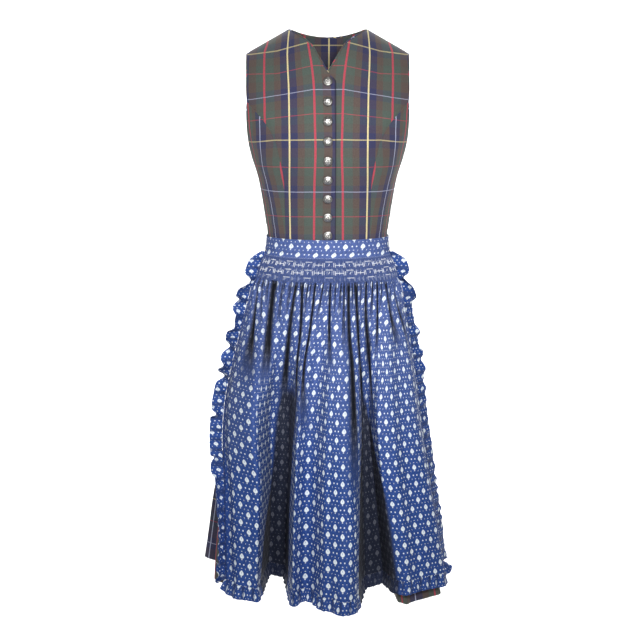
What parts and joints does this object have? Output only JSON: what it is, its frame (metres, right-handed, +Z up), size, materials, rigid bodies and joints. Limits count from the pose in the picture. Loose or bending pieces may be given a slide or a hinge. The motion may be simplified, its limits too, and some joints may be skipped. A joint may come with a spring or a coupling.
{
  "type": "dirndl dress with apron",
  "caption": "Sleeveless dirndl dress filled out as worn: buttoned princess-seam bodice, flared gathered skirt, smocked and ruffled apron tied at the back.",
  "frame": {"origin": "midway between the two neck points, where the shoulder seams meet the neck and the wearer's shoulders carry the dress", "axes": "+Z up, front towards -Y, wearer's left towards +X"},
  "size_m": [0.5098, 0.5295, 1.1012],
  "materials": {
    "plaid_wool": "light woven cloth in grey-green, brown and navy plaid with yellow, red and white lines",
    "plaid_bias": "piping cut on the bias from the plaid cloth",
    "indigo_cotton": "indigo block-printed cotton with small white motifs and dots, slight sheen",
    "antique_silver": "darkened silver-coloured metal with raised parts rubbed bright"
  },
  "bodies": {
    "root": {"bodice_front_right": "plaid_wool", "bodice_front_left": "plaid_wool", "bodice_side_front_right": "plaid_wool", "bodice_side_front_left": "plaid_wool", "bodice_side_back_right": "plaid_wool", "bodice_side_back_left": "plaid_wool", "bodice_back": "plaid_wool", "piping_neck": "plaid_bias", "piping_armhole_right": "plaid_bias", "piping_armhole_left": "plaid_bias", "button_1": "antique_silver", "button_2": "antique_silver", "button_3": "antique_silver", "button_4": "antique_silver", "button_5": "antique_silver", "button_6": "antique_silver", "button_7": "antique_silver", "button_8": "antique_silver", "button_9": "antique_silver", "skirt_front": "plaid_wool", "skirt_back": "plaid_wool", "apron_waistband": "indigo_cotton", "apron_smocking": "indigo_cotton", "apron_panel": "indigo_cotton", "apron_ruffle_right": "indigo_cotton", "apron_ruffle_left": "indigo_cotton", "apron_ruffle_hem": "indigo_cotton", "apron_tie_right": "indigo_cotton", "apron_tie_left": "indigo_cotton", "apron_knot": "indigo_cotton", "apron_tail_right": "indigo_cotton", "apron_tail_left": "indigo_cotton"}
  },
  "joints": []
}
